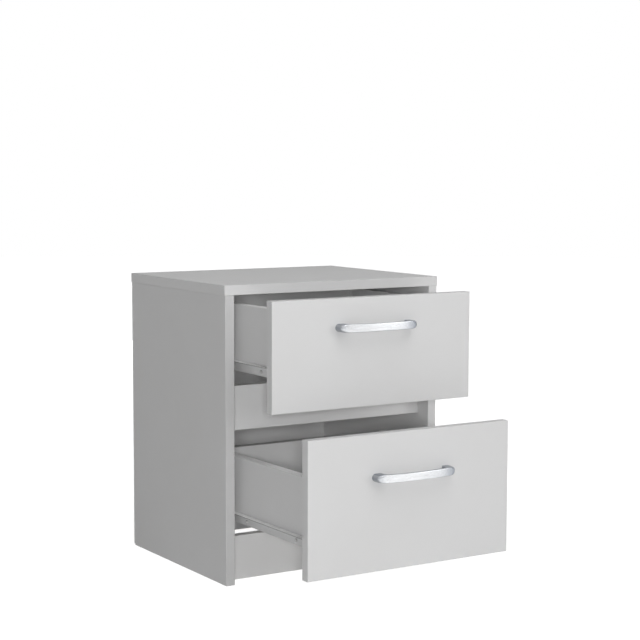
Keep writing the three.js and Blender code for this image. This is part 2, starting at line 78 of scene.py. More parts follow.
# Display values of the hardboard's paint and of the runners' enamel
PAINT_VALUES = (0.91, 0.93)
ENAMEL_VALUES = (0.80, 0.82)
ENAMEL_RUBBED_VALUE = 0.68
# Painted light on the enamel's faces that look up and painted shade on the runners' flange edge
ENAMEL_LIT_TOP_VALUE = 0.97
ENAMEL_SHADED_EDGE_VALUE = 0.60

# Shares of a face's normal along an axis between which the tone of that side comes in
EDGE_FACING = (0.85, 0.95)
RAW_FACING = (0.90, 0.97)
HANDLE_FACING = (0.50, 0.90)

# Colours: for each pressed fibre its dark, its light and its streaks
CHIP_DARK = (0.33, 0.20, 0.10, 1)
CHIP_LIGHT = (0.62, 0.46, 0.28, 1)
CHIP_STREAK = (0.20, 0.12, 0.06, 1)
BROWN_FIBRE = ((0.235, 0.130, 0.060, 1), (0.385, 0.235, 0.120, 1), (0.16, 0.085, 0.04, 1))
PALE_FIBRE = ((0.66, 0.64, 0.61, 1), (0.76, 0.75, 0.73, 1), (0.55, 0.52, 0.49, 1))
NYLON_CLEAN = (0.74, 0.73, 0.68, 1)
NYLON_GRIME = (0.46, 0.45, 0.42, 1)
BEECH_DARK = (0.62, 0.40, 0.22, 1)
BEECH_LIGHT = (0.74, 0.53, 0.33, 1)
BEECH_FLECK = (0.40, 0.23, 0.12, 1)
NICKEL = (0.72, 0.73, 0.745, 1)
# The handle's painted shade and dark reflection
NICKEL_SHADED = (0.27, 0.29, 0.325, 1)
ZINC = ((0.50, 0.53, 0.57, 1), (0.60, 0.58, 0.52, 1))
DULL_ZINC = ((0.36, 0.365, 0.375, 1), (0.42, 0.415, 0.40, 1))

# Roughness, from the glossiest places to the dullest, and the nickel's change by patches
MELAMINE_ROUGHNESS = (0.44, 0.48)
HARDBOARD_ROUGHNESS = (0.48, 0.72)
ENAMEL_ROUGHNESS = (0.26, 0.40)
NYLON_ROUGHNESS = (0.38, 0.55)
NICKEL_ROUGHNESS = (0.20, 0.30)
NICKEL_PATCH = (-0.006, 0.006)
ZINC_ROUGHNESS = (0.28, 0.46)
BEECH_ROUGHNESS = 0.7
FLOOR_ROUGHNESS = 0.9

# Most of a noise's values lie between these
NOISE_SPAN = (0.3, 0.7)

# How much of its shaded colour, a painted shade and dark reflection, a handle shows by the x of its
# normal
PAINTED_SHOULDER_SHADE = (
    (-1, 0.88), (-0.97, 0.74), (-0.85, 0.62), (-0.68, 0.44), (-0.50, 0.36), (-0.30, 0.24),
    (-0.20, 0.10), (-0.15, 0.01), (-0.05, 0), (0, 0.10), (0.10, 0.24), (0.13, 0.41),
    (0.165, 0.75), (0.27, 0.96), (0.5, 1), (1, 1),
)

# Shading and steps of curved pieces
ROUND_PIECES = ("roller", "handle", "cam", "bolt", "dowel", "screw", "runner")
SHARP_ANGLE = math.radians(30)
TURNED_STEPS = 24
NAIL_STEPS = 16

# Where the screws of the runners go
JOINT_GAP = 0.0001
RUNNER_SHEET = 0.0012
RUNNER_HOLE_RISE = 0.006
RUNNER_END_HOLE = 0.032
RUNNER_HOLE_SPACING = 0.150
CHANNEL_HOLES = (0.037, 0.133, 0.261)

# Heads of the small fasteners. A profile's points are a share of the radius and a height, and a
# cross recess is its reach, its width and its depth.
PAN_RADIUS = 0.0030
PAN_PROFILE = (
    (0, 0), (0.92, 0), (1, 0.0003), (0.93, 0.0011), (0.7, 0.0017), (0.35, 0.00205), (0, 0.0021),
)
PAN_CROSS = (0.0018, 0.0009, 0.0011)
NAIL_RADIUS = 0.0017
NAIL_PROFILE = ((0, -0.0006), (1, -0.0002), (1, 0.00012), (0.8, 0.0003), (0, 0.00038))
FLAT_HEAD_SUNK = 0.0008
FLAT_HEAD_RIM = 0.0001
BOX_CAM_RADIUS = 0.0062
BOX_CAM_RISE = 0.0003
BOX_CAM_BEVEL = 0.0003
BOX_CAM_CROSS = (0.0036, 0.0013, 0.0007)
BOX_SCREW_RADIUS = 0.0046
BOX_SCREW_RISE = 0.0004
BOX_SCREW_BEVEL = 0.0005
BOX_SCREW_CROSS = (0.0024, 0.0011, 0.0008)

# Reach and half width of a cross recess at its bottom, as shares of its reach and its width
CROSS_REACH_SHARE = 0.45
CROSS_HALF_SHARE = 0.35

# Where the nails and the fittings of the drawer boxes go
NAIL_PITCH = 0.085
NAIL_INSET = 0.008
BOX_CAM_INSET = 0.024
BOX_SCREW_INSET = 0.008
BOX_FITTING_SHARES = (0.30, 0.78)

# Bow handles
HANDLE_SHOULDER = 0.0145
HANDLE_FACE_FALL = 0.005
HANDLE_FOOT = 0.016
HANDLE_THICKNESS = 0.0045
HANDLE_INNER_RADIUS = 0.010
HANDLE_EASE = 0.0009
HANDLE_PULL_SHARE = 0.83
HANDLE_HOLE = 0.00215
HANDLE_HOLE_DEPTH = 0.0079
HANDLE_LEVELS = 24
SHOULDER_STEPS = 14
FACE_STEPS = 12

# The photograph's camera: its place from the front edges of the cabinet, its turns in radians
FRONT_EDGE_Y = -0.04595
CAMERA_PLACE = (-1.42795272, -2.23170546 + FRONT_EDGE_Y, 0.67214906)
CAMERA_YAW = -0.55992
CAMERA_PITCH = -0.0965
CAMERA_ROLL = 0.00179
FOCAL_PIXELS = 1631.12596
PHOTO_PIXELS = 640
SENSOR_MM = 36
CLIP_END = 60

# Surroundings. The floor's glow grows between two distances from the origin, and rays that don't
# show the background see only a share of it.
AMBIENT = 0.03
MIDDLE = (0, 0, 0.25)
FLOOR_RADIUS = 9.0
FLOOR_SEGMENTS = 96
FLOOR_DROP = 0.0002
FLOOR_COLOUR = (0.80, 0.80, 0.80, 1)
FLOOR_FADE = (0.4, 1.8)
FLOOR_GLOW = (0.86, 1.0)
FLOOR_GLOW_SHARE = 0.10

# Softboxes: name, place, width, height, power in watts, and whether glossy surfaces mirror it
SOFTBOXES = (
    ("key_light", (-1.785, -2.850, 0.777), 0.45, 0.35, 35, False),
    ("high_light", (0.0, -1.6, 2.6), 2.4, 2.0, 28, True),
    ("right_light", (2.8, -3.0, 1.2), 1.8, 1.6, 28, True),
    ("back_light", (0.6, 3.4, 0.25), 2.6, 0.4, 36, True),
)


class Nodes:
    """A material's node tree, with short calls that add and link nodes."""

    def __init__(self, name):
        self.material = bpy.data.materials.new(name)
        self.material.use_nodes = True
        self.tree = self.material.node_tree
        self.shader = self.tree.nodes["Principled BSDF"]
        self.output = self.tree.nodes["Material Output"]
        self.place = self.add("ShaderNodeTexCoord").outputs["Object"]

    def add(self, kind, **values):
        node = self.tree.nodes.new(kind)
        for key, value in values.items():
            setattr(node, key, value)
        return node

    def link(self, source, target):
        self.tree.links.new(source, target)

    def feed(self, socket, value):
        """Links a socket to another one, or sets it to a plain value."""
        if isinstance(value, bpy.types.NodeSocket):
            self.link(value, socket)
        else:
            socket.default_value = value

    def surface(self, values):
        """Sets or links inputs of the shader by their names."""
        for key, value in values.items():
            self.feed(self.shader.inputs[key], value)

    def math(self, operation, a, b=0.0):
        """A sum, product or the like of two values."""
        node = self.add("ShaderNodeMath", operation=operation)
        self.feed(node.inputs[0], a)
        self.feed(node.inputs[1], b)
        return node.outputs[0]

    def ramp(self, value, low, high, start=0.0, end=1.0):
        """A value taken from one range to another and held within it."""
        node = self.add("ShaderNodeMapRange", clamp=True)
        ranges = (("From Min", low), ("From Max", high), ("To Min", start), ("To Max", end))
        for key, number in ranges:
            node.inputs[key].default_value = number
        self.link(value, node.inputs["Value"])
        return node.outputs["Result"]

    def spread(self, noise, low=0.0, high=1.0):
        """A noise, its usual span stretched to a range."""
        return self.ramp(noise, *NOISE_SPAN, low, high)

    def steps(self, value, stops):
        """A curve through (value, result) stops, from -1 to 1, with straight stretches."""
        node = self.add("ShaderNodeFloatCurve")
        curve = node.mapping.curves[0]
        points = [((at + 1) / 2, result) for at, result in stops]
        curve.points[0].location = points[0]
        curve.points[1].location = points[-1]
        for point in points[1:-1]:
            curve.points.new(*point)
        for point in curve.points:
            point.handle_type = "VECTOR"
        node.mapping.update()
        self.link(self.ramp(value, -1, 1), node.inputs["Value"])
        return node.outputs["Value"]

    def texture(self, kind, scale, stretch):
        """A texture by place: scale is its count to the metre, which stretch multiplies by axis."""
        mapping = self.add("ShaderNodeMapping")
        mapping.inputs["Scale"].default_value = stretch
        self.link(self.place, mapping.inputs["Vector"])
        node = self.add(kind)
        self.link(mapping.outputs["Vector"], node.inputs["Vector"])
        node.inputs["Scale"].default_value = scale
        return node

    def noise(self, scale, detail, stretch=(1, 1, 1), rough=0.5):
        """A soft noise, most of it within NOISE_SPAN."""
        node = self.texture("ShaderNodeTexNoise", scale, stretch)
        node.inputs["Detail"].default_value = detail
        node.inputs["Roughness"].default_value = rough
        return node.outputs["Fac"]

    def cells(self, scale, stretch=(1, 1, 1), output="Distance"):
        """Cells: how far the nearest one's middle is, or each one's own colour."""
        return self.texture("ShaderNodeTexVoronoi", scale, stretch).outputs[output]

    def mix(self, share, a, b):
        """A colour between a and b, nearer to b as the share grows."""
        node = self.add("ShaderNodeMix", data_type="RGBA", clamp_factor=True)
        self.feed(node.inputs["Factor"], share)
        colours = [socket for socket in node.inputs if socket.type == "RGBA"]
        self.feed(colours[0], a)
        self.feed(colours[1], b)
        return next(socket for socket in node.outputs if socket.type == "RGBA")

    def normal(self, axis):
        """The part of the surface's normal along an axis."""
        geometry = self.add("ShaderNodeNewGeometry")
        split = self.add("ShaderNodeSeparateXYZ")
        self.link(geometry.outputs["Normal"], split.inputs["Vector"])
        return split.outputs[axis]

    def facing(self, axis, sign, limits):
        """1 on the faces that look along an axis, or against it where the sign is -1."""
        return self.ramp(self.math("MULTIPLY", self.normal(axis), sign), *limits)

    def bump(self, height, strength, distance):
        node = self.add("ShaderNodeBump")
        node.inputs["Strength"].default_value = strength
        node.inputs["Distance"].default_value = distance
        self.link(height, node.inputs["Height"])
        self.link(node.outputs["Normal"], self.shader.inputs["Normal"])


def grey(value, warm=0.0):
    """A linear grey from its display value, a little warmer or cooler."""
    linear = value**2.2
    return (linear * (1 + warm), linear, linear * (1 - warm), 1.0)


def melamine(name, value, raw_below=False, shaded_front_edge=None, lit_top_edge=None):
    """White melamine board: fine pearl relief, faint clouding, a scuffed sheen and, where asked,
    painted shade on the front edge, painted light on the top edge and raw chipboard on the bottom
    edge."""
    n = Nodes(name)
    cloud = n.noise(6.0, 3.0)
    speck = n.noise(900.0, 2.0)
    darker = grey(value - CLOUD_CHANGE, 0.002)
    lighter = grey(value + CLOUD_CHANGE, -0.001)
    base = n.mix(n.spread(cloud), darker, lighter)
    base = n.mix(n.ramp(speck, 0.62, 0.8, 0.0, 0.10), base, grey(value - SPECK_CHANGE))
    # Painted shade on the front edge and painted light on the top edge
    if shaded_front_edge:
        base = n.mix(n.facing("Y", -1, EDGE_FACING), base, grey(shaded_front_edge))
    if lit_top_edge:
        base = n.mix(n.facing("Z", 1, EDGE_FACING), base, grey(lit_top_edge))
    if raw_below:
        base = n.mix(n.facing("Z", -1, RAW_FACING), base, chipboard(n))
    n.surface({
        "Base Color": base,
        "Roughness": n.ramp(n.noise(35.0, 4.0), 0.25, 0.75, *MELAMINE_ROUGHNESS),
        "Specular IOR Level": 0.35,
    })
    relief = n.math("ADD", n.noise(1500.0, 2.0), n.math("MULTIPLY", n.cells(1100.0), 0.6))
    n.bump(relief, strength=0.10, distance=0.00006)
    return n.material


def chipboard(n):
    """The colour of raw chipboard: chips of their own tone each, streaked with fine dark ones."""
    split = n.add("ShaderNodeSeparateColor")
    n.link(n.cells(420.0, (1, 1, 3), "Color"), split.inputs["Color"])
    wood = n.mix(split.outputs["Red"], CHIP_DARK, CHIP_LIGHT)
    return n.mix(n.ramp(n.noise(700.0, 4.0), 0.35, 0.7, 0.0, 0.5), wood, CHIP_STREAK)


def hardboard(name, axis, sign, raw_tones):
    """Thin hardboard: painted white, but for the pressed fibre of the face named by axis and
    sign."""
    n = Nodes(name)
    fibre = n.noise(160.0, 6.0, rough=0.65)
    long_fibre = n.noise(60.0, 5.0, (1, 6, 4), 0.6)
    dark, light, streak = raw_tones
    pressed = n.mix(n.spread(fibre), dark, light)
    pressed = n.mix(n.ramp(long_fibre, 0.5, 0.75, 0.0, 0.35), pressed, streak)
    paint = n.mix(n.spread(n.noise(9.0, 3.0)), *map(grey, PAINT_VALUES))
    raw = n.facing(axis, sign, RAW_FACING)
    n.surface({
        "Base Color": n.mix(raw, paint, pressed),
        "Roughness": n.ramp(raw, 0.0, 1.0, *HARDBOARD_ROUGHNESS),
    })
    relief = n.math("ADD", fibre, n.math("MULTIPLY", n.noise(900.0, 3.0), 0.5))
    n.bump(relief, strength=0.22, distance=0.0001)
    return n.material


def enamel(name):
    """White epoxy on pressed steel: light orange peel, rubbed grey in streaks along the run,
    painted light on the faces that look up and a line of painted shade on the cut edge of each
    drawer runner's flange."""
    n = Nodes(name)
    rubbed = n.noise(55.0, 5.0, (1, 0.08, 1), 0.6)
    base = n.mix(n.spread(n.noise(12.0, 3.0)), *map(grey, ENAMEL_VALUES))
    base = n.mix(n.ramp(rubbed, 0.62, 0.75, 0.0, 0.30), base, grey(ENAMEL_RUBBED_VALUE))
    # Painted light: the faces that look up are lighter
    base = n.mix(n.facing("Z", 1, EDGE_FACING), base, grey(ENAMEL_LIT_TOP_VALUE))
    # Painted shade: a darker line along the top edge of each drawer runner's flange
    sideways = n.ramp(n.math("ABSOLUTE", n.normal("X")), *EDGE_FACING)
    split = n.add("ShaderNodeSeparateXYZ")
    n.link(n.place, split.inputs["Vector"])
    for drawer in DRAWERS:
        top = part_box(f"{drawer}_left_drawer_runner")[1].z
        above = n.math("GREATER_THAN", split.outputs["Z"], top - RUNNER_SHEET)
        below = n.math("LESS_THAN", split.outputs["Z"], top + RUNNER_SHEET)
        shaded_cut_edge = n.math("MULTIPLY", n.math("MULTIPLY", above, below), sideways)
        base = n.mix(shaded_cut_edge, base, grey(ENAMEL_SHADED_EDGE_VALUE))
    n.surface({
        "Base Color": base,
        "Roughness": n.spread(n.noise(80.0, 3.0), *ENAMEL_ROUGHNESS),
    })
    n.bump(n.noise(700.0, 2.0), strength=0.15, distance=0.00008)
    return n.material


def nylon(name):
    """Off-white nylon of a roller, a little greyed in patches."""
    n = Nodes(name)
    grime = n.noise(220.0, 4.0, rough=0.6)
    n.surface({
        "Base Color": n.mix(n.ramp(grime, 0.5, 0.75, 0.0, 0.45), NYLON_CLEAN, NYLON_GRIME),
        "Roughness": n.spread(grime, *NYLON_ROUGHNESS),
        "Subsurface Weight": 0.08,
        "Subsurface Scale": 0.002,
    })
    n.bump(n.noise(500.0, 3.0), strength=0.12, distance=0.0001)
    return n.material


def brushed(name, colour, shaded):
    """Plated metal with fine lines along x and uneven gloss, darker round its shoulders and along
    its top and bottom edges than on its face by painted shade and dark reflection."""
    n = Nodes(name)
    lines = n.noise(2600.0, 3.0, (0.03, 1, 1), 0.6)
    rows = n.noise(330.0, 1.0, (0.006, 1, 1))
    darker = tuple(c * 0.88 for c in colour[:3]) + (1,)
    face = n.mix(n.ramp(lines, 0.35, 0.65, 0.0, 0.6), colour, darker)
    face = n.mix(n.ramp(rows, 0.42, 0.58, 0.0, 0.7), face, darker)
    streak = n.spread(lines, -0.008, 0.008)
    # Painted shade and dark reflection, by the x of the normal and by how far it turns up or down
    across = n.steps(n.math("ADD", n.normal("X"), streak), PAINTED_SHOULDER_SHADE)
    upright = n.ramp(n.math("ABSOLUTE", n.normal("Z")), *HANDLE_FACING)
    gloss = n.spread(lines, *NICKEL_ROUGHNESS)
    patch = n.spread(n.noise(40.0, 3.0), *NICKEL_PATCH)
    n.surface({
        "Base Color": n.mix(n.math("MAXIMUM", across, upright), face, shaded),
        "Metallic": 1.0,
        "Roughness": n.math("ADD", gloss, patch),
    })
    n.bump(lines, strength=0.12, distance=0.00004)
    return n.material


def zinc(name, tones):
    """Zinc plate, clouded between a cool tone and a straw one."""
    n = Nodes(name)
    cool, straw = tones
    n.surface({
        "Base Color": n.mix(n.ramp(n.noise(180.0, 4.0), 0.35, 0.65), cool, straw),
        "Metallic": 1.0,
        "Roughness": n.spread(n.noise(300.0, 4.0), *ZINC_ROUGHNESS),
    })
    n.bump(n.noise(1500.0, 3.0), strength=0.15, distance=0.00005)
    return n.material


def beech(name):
    """Plain beech of a dowel, with its short flecks along the grain."""
    n = Nodes(name)
    grain = n.noise(260.0, 6.0, (1, 1, 0.08), 0.6)
    fleck = n.noise(900.0, 2.0, (1, 1, 0.15))
    base = n.mix(n.spread(grain), BEECH_DARK, BEECH_LIGHT)
    base = n.mix(n.ramp(fleck, 0.6, 0.75, 0.0, 0.6), base, BEECH_FLECK)
    n.surface({"Base Color": base, "Roughness": BEECH_ROUGHNESS})
    n.bump(grain, strength=0.2, distance=0.0001)
    return n.material


fronts = melamine("front_melamine_look", FRONT_VALUE)
box_boards = melamine("box_board_look", BOX_VALUE, lit_top_edge=TOP_LIT_EDGE_VALUE)
rear_boards = melamine("rear_board_look", REAR_SHADED_VALUE)
left_board = melamine("left_board_look", LEFT_SHADED_VALUE, raw_below=True, shaded_front_edge=LEFT_SHADED_EDGE_VALUE)
right_board = melamine("right_board_look", RIGHT_SHADED_VALUE, raw_below=True)
middle_rail = melamine("middle_rail_look", RAIL_LIT_VALUE)
kick_rail = melamine("kick_rail_look", KICK_LIT_VALUE, raw_below=True)
back_look = hardboard("back_hardboard_look", "Y", 1, BROWN_FIBRE)
bottom_look = hardboard("bottom_hardboard_look", "Z", -1, PALE_FIBRE)
runner_look = enamel("runner_enamel_look")
roller_look = nylon("roller_nylon_look")
handle_look = brushed("handle_nickel_look", NICKEL, NICKEL_SHADED)
zinc_look = zinc("zinc_look", ZINC)
dull_zinc_look = zinc("dull_zinc_look", DULL_ZINC)
dowel_look = beech("beech_look")

# How the names of the carried-over nodes end, and what those nodes are made of
LOOKS = (
    (("top_panel", "drawer_front"), fronts),
    (("drawer_left_side", "drawer_right_side"), box_boards),
    (("drawer_rear",), rear_boards),
    (("left_side_panel",), left_board),
    (("right_side_panel",), right_board),
    (("middle_rail",), middle_rail),
    (("kick_rail",), kick_rail),
    (("back_panel",), back_look),
    (("drawer_bottom",), bottom_look),
    (("runner",), runner_look),
    (("roller",), roller_look),
    (("handle",), handle_look),
    (("cam", "bolt", "screw"), zinc_look),
    (("dowel",), dowel_look),
)


def look_of(name):
    """The material of a carried-over node."""
    for endings, look in LOOKS:
        if name.endswith(endings):
            return look
    raise ValueError(f"no look for {name}")


def dress(obj, look):
    """Gives an object its one material."""
    obj.data.materials.clear()
    obj.data.materials.append(look)


def smooth(obj):
    """Shades curved faces smooth and keeps the sharp edges."""
    mesh = obj.data
    mesh.polygons.foreach_set("use_smooth", [True] * len(mesh.polygons))
    mesh.set_sharp_from_angle(angle=SHARP_ANGLE)
    mesh.update()


def carried_over():
    """Materials and shading of the nodes that come from the frame."""
    for name, obj in nodes.items():
        dress(obj, look_of(name))
        if name.endswith(ROUND_PIECES):
            smooth(obj)


def added(name, data):
    """A new object, in the scene."""
    obj = bpy.data.objects.new(name, data)
    bpy.context.scene.collection.objects.link(obj)
    return obj


def closed_mesh(name, shape):
    """The mesh of a closed shape, with every face turned outward."""
    bmesh.ops.recalc_face_normals(shape, faces=shape.faces)
    mesh = bpy.data.meshes.new(name)
    shape.to_mesh(mesh)
    shape.free()
    return mesh


def wall(shape, low, high):
    """Quads all the way round between two rings that have as many points each."""
    for step in range(len(low)):
        after = (step + 1) % len(low)
        shape.faces.new((low[step], low[after], high[after], high[step]))


def turned_mesh(name, profile, steps=TURNED_STEPS):
    """A closed turned mesh about +Z from (radius, height) pairs that start and end on the axis."""
    shape = bmesh.new()
    rings = []
    for radius, height in profile:
        if radius == 0:
            rings.append([shape.verts.new((0, 0, height))])
            continue
        ring = []
        for step in range(steps):
            turn = 2 * math.pi * step / steps
            at = (radius * math.cos(turn), radius * math.sin(turn), height)
            ring.append(shape.verts.new(at))
        rings.append(ring)
    for low, high in zip(rings, rings[1:]):
        for step in range(steps):
            after = (step + 1) % steps
            if len(low) == 1 and len(high) > 1:
                shape.faces.new((low[0], high[step], high[after]))
            elif len(high) == 1 and len(low) > 1:
                shape.faces.new((low[step], high[0], low[after]))
            elif len(low) > 1:
                shape.faces.new((low[step], high[step], high[after], low[after]))
    return closed_mesh(name, shape)


def cross_recess(name, reach, width, top, bottom):
    """A tapered cross along Z, wide at the top, as a driver leaves it."""
    shape = bmesh.new()

    def ring(height, long, half):
        arm = [(long, -half), (long, half), (half, half)]
        corners = []
        for _ in range(4):
            corners += arm
            arm = [(-y, x) for x, y in arm]
        return [shape.verts.new((x, y, height)) for x, y in corners]

    low = ring(bottom, reach * CROSS_REACH_SHARE, width * CROSS_HALF_SHARE)
    high = ring(top, reach, width / 2)
    wall(shape, low, high)
    shape.faces.new(list(reversed(low)))
    shape.faces.new(high)
    return closed_mesh(name, shape)


def carved(name, mesh, cutter_mesh):
    """A mesh with another one cut out of it."""
    body = added(name, mesh)
    cutter = added(name + "_cutter", cutter_mesh)
    cut = body.modifiers.new("carved", "BOOLEAN")
    cut.operation = "DIFFERENCE"
    cut.solver = "EXACT"
    cut.object = cutter
    bpy.context.view_layer.update()
    depsgraph = bpy.context.evaluated_depsgraph_get()
    made = bpy.data.meshes.new_from_object(body.evaluated_get(depsgraph))
    made.name = name
    bpy.data.objects.remove(body)
    bpy.data.objects.remove(cutter)
    return made


def sized(radius, profile):
    """A profile's points, with their shares of the radius worked out."""
    return [(radius * share, height) for share, height in profile]


def flat_head(radius, rise, bevel):
    """The profile of a flat head that is let into its board and has a bevelled rim."""
    return [
        (0, -FLAT_HEAD_SUNK), (radius, -FLAT_HEAD_SUNK), (radius, FLAT_HEAD_RIM),
        (radius - bevel, rise), (0, rise),
    ]


def recessed(name, profile, cross):
    """A turned head with a cross recess cut in its top."""
    reach, width, depth = cross
    top = max(height for _, height in profile)
    cutter = cross_recess(name + "_cross", reach, width, top + depth, top - depth)
    return carved(name, turned_mesh(name, profile), cutter)


pan_head = recessed("pan_head", sized(PAN_RADIUS, PAN_PROFILE), PAN_CROSS)
nail_head = turned_mesh("nail_head", sized(NAIL_RADIUS, NAIL_PROFILE), NAIL_STEPS)
cam_face = recessed(
    "cam_face", flat_head(BOX_CAM_RADIUS, BOX_CAM_RISE, BOX_CAM_BEVEL), BOX_CAM_CROSS
)
box_screw = recessed(
    "box_screw", flat_head(BOX_SCREW_RADIUS, BOX_SCREW_RISE, BOX_SCREW_BEVEL), BOX_SCREW_CROSS
)


def place(name, mesh, look, at, facing, body):
    """One small fastener: its mesh stands along the direction that it faces."""
    obj = added(name, mesh.copy())
    dress(obj, look)
    turn = Vector((0, 0, 1)).rotation_difference(Vector(facing)).to_matrix().to_4x4()
    obj.matrix_world = Matrix.Translation(Vector(at)) @ turn
    smooth(obj)
    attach(obj, body)


def runner_screws():
    """Pan-head screws that hold each runner to its board."""
    for drawer in DRAWERS:
        for side, hand in SIDES:
            prefix = f"{drawer}_{side}"
            low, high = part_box(prefix + "_drawer_runner")
            board_low, board_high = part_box(f"{drawer}_drawer_{side}_side")
            board_face = board_low.x if hand < 0 else board_high.x
            x = board_face + hand * (JOINT_GAP + RUNNER_SHEET)
            z = board_low.z + RUNNER_HOLE_RISE
            second = RUNNER_END_HOLE + RUNNER_HOLE_SPACING
            last = high.y - low.y - RUNNER_END_HOLE
            for index, spot in enumerate((RUNNER_END_HOLE, second, last)):
                name = f"{prefix}_runner_screw_{index}"
                at = (x, low.y + spot, z)
                place(name, pan_head, dull_zinc_look, at, (hand, 0, 0), f"{drawer}_drawer")
            low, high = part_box(prefix + "_cabinet_runner")
            x = (low.x if hand < 0 else high.x) - hand * RUNNER_SHEET
            z = (low.z + high.z) / 2
            for index, spot in enumerate(CHANNEL_HOLES):
                name = f"{prefix}_channel_screw_{index}"
                at = (x, low.y + spot, z)
                place(name, pan_head, dull_zinc_look, at, (-hand, 0, 0), "carcass")


def back_nails():
    """Nails down both sides of the back panel, into the rear edges of the side panels."""
    low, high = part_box("back_panel")
    rise = high.z - low.z - 2 * NAIL_INSET
    count = round(rise / NAIL_PITCH)
    for side, hand in SIDES:
        x = (low.x if hand < 0 else high.x) - hand * NAIL_INSET
        for index in range(count + 1):
            name = f"back_nail_{side}_{index}"
            at = (x, high.y, low.z + NAIL_INSET + rise * index / count)
            place(name, nail_head, zinc_look, at, (0, 1, 0), "carcass")


def box_fittings():
    """Cams that draw each drawer front on, and screws through the sides into the rear board."""
    for drawer in DRAWERS:
        body = f"{drawer}_drawer"
        for side, hand in SIDES:
            low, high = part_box(f"{drawer}_drawer_{side}_side")
            inner = high.x if hand < 0 else low.x
            outer = low.x if hand < 0 else high.x
            for index, share in enumerate(BOX_FITTING_SHARES):
                z = low.z + share * (high.z - low.z)
                name = f"{drawer}_{side}_front_cam_{index}"
                at = (inner, low.y + BOX_CAM_INSET, z)
                place(name, cam_face, zinc_look, at, (-hand, 0, 0), body)
                name = f"{drawer}_{side}_rear_screw_{index}"
                at = (outer, high.y - BOX_SCREW_INSET, z)
                place(name, box_screw, zinc_look, at, (hand, 0, 0), body)


def bezier(start, pull, hold, end, steps):
    """Points along a cubic curve, without its last one."""
    points = []
    for step in range(steps):
        t = step / steps
        u = 1 - t
        weights = (u**3, 3 * u * u * t, 3 * u * t * t, t**3)
        shares = zip((start, pull, hold, end), weights)
        points.append(sum((Vector(p) * weight for p, weight in shares), Vector((0, 0))))
    return points


def bow_side(end, face, crown, fall_rate, pull):
    """Half of a bow seen from above: up from its seat, round its shoulder and along to its middle.
    Points are [along, out]; crown is how far the middle stands out, fall_rate how fast it falls."""
    edge = crown - fall_rate * face**2
    slope = 2 * fall_rate * face
    raised = (end, HANDLE_PULL_SHARE * edge)
    reached = (face + pull, edge - pull * slope)
    points = bezier((end, 0), raised, reached, (face, edge), SHOULDER_STEPS)
    for step in range(FACE_STEPS):
        along = face * (1 - step / FACE_STEPS)
        points.append(Vector((along, crown - fall_rate * along**2)))
    return points


def eased(points, inward):
    """Moves an open run of plan points inward along its own normals, and leaves the seat level."""
    moved = []
    for index, point in enumerate(points):
        before = points[max(index - 1, 0)]
        after = points[min(index + 1, len(points) - 1)]
        along = (after - before).normalized()
        step = Vector((-along.y, along.x)) * inward
        moved.append(Vector((point.x + step.x, point.y + (step.y if point.y > 0 else 0))))
    return moved


def mirrored(half, crown):
    """The whole run, from the right seat to the left one."""
    return half + [Vector((0, crown))] + [Vector((-p.x, p.y)) for p in reversed(half)]


def screw_hole(name, x, z):
    """A blind hole in a handle's foot, from the seat outward."""
    profile = [
        (0, -HANDLE_EASE), (HANDLE_HOLE, -HANDLE_EASE),
        (HANDLE_HOLE, HANDLE_HOLE_DEPTH), (0, HANDLE_HOLE_DEPTH),
    ]
    hole = turned_mesh(name, profile)
    hole.transform(Matrix.Translation((x, 0, z)) @ Matrix.Rotation(math.pi / 2, 4, "X"))
    return hole


def bow_mesh(name, half_length, out, half_height, hole_places):
    """A bow handle about the middle of its seat, standing out towards -Y: its ends are round seen
    from the front, its edges are eased and each foot has a blind hole for its screw."""
    face = half_length - HANDLE_SHOULDER
    fall_rate = HANDLE_FACE_FALL / face**2
    pull = HANDLE_PULL_SHARE * HANDLE_SHOULDER
    inside = half_length - HANDLE_FOOT
    inside_face = inside - HANDLE_INNER_RADIUS
    inside_pull = HANDLE_PULL_SHARE * HANDLE_INNER_RADIUS
    hollow = out - HANDLE_THICKNESS
    inner = mirrored(bow_side(inside, inside_face, hollow, fall_rate, inside_pull), hollow)
    shape = bmesh.new()
    rings = []
    for level in range(HANDLE_LEVELS + 1):
        turn = math.pi * (level / HANDLE_LEVELS - 0.5)
        height = half_height * math.sin(turn)
        drawn_in = half_height * (1 - math.cos(turn))
        over = max(abs(height) - (half_height - HANDLE_EASE), 0)
        ease = HANDLE_EASE - math.sqrt(max(HANDLE_EASE**2 - over**2, 0))
        half = bow_side(half_length - drawn_in, face - drawn_in, out, fall_rate, pull)
        plan = eased(mirrored(half, out), ease) + list(reversed(eased(inner, -ease)))
        rings.append([shape.verts.new((p.x, -p.y, height)) for p in plan])
    for low, high in zip(rings, rings[1:]):
        wall(shape, low, high)
    for ring in (rings[0], rings[-1]):
        for step in range(len(ring) // 2 - 1):
            across = len(ring) - 1 - step
            shape.faces.new((ring[step], ring[step + 1], ring[across - 1], ring[across]))
    mesh = closed_mesh(name, shape)
    for index, (x, z) in enumerate(hole_places):
        mesh = carved(name, mesh, screw_hole(f"{name}_hole_{index}", x, z))
    return mesh


def handles():
    """The bow handles, with the round ends that the solids' facets only suggest."""
    for drawer in DRAWERS:
        node = f"{drawer}_handle"
        low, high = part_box(node)
        seat = Vector(((low.x + high.x) / 2, high.y, (low.z + high.z) / 2))
        hole_places = []
        for side, _ in SIDES:
            screw_low, screw_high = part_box(f"{drawer}_handle_{side}_screw")
            middle = (screw_low + screw_high) / 2
            hole_places.append((middle.x - seat.x, middle.z - seat.z))
        name = f"{drawer}_bow_handle"
        half_length = (high.x - low.x) / 2
        half_height = (high.z - low.z) / 2
        mesh = bow_mesh(name, half_length, high.y - low.y, half_height, hole_places)
        obj = added(name, mesh)
        obj.location = seat
        dress(obj, handle_look)
        smooth(obj)
        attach(obj, f"{drawer}_drawer")
        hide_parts(node)


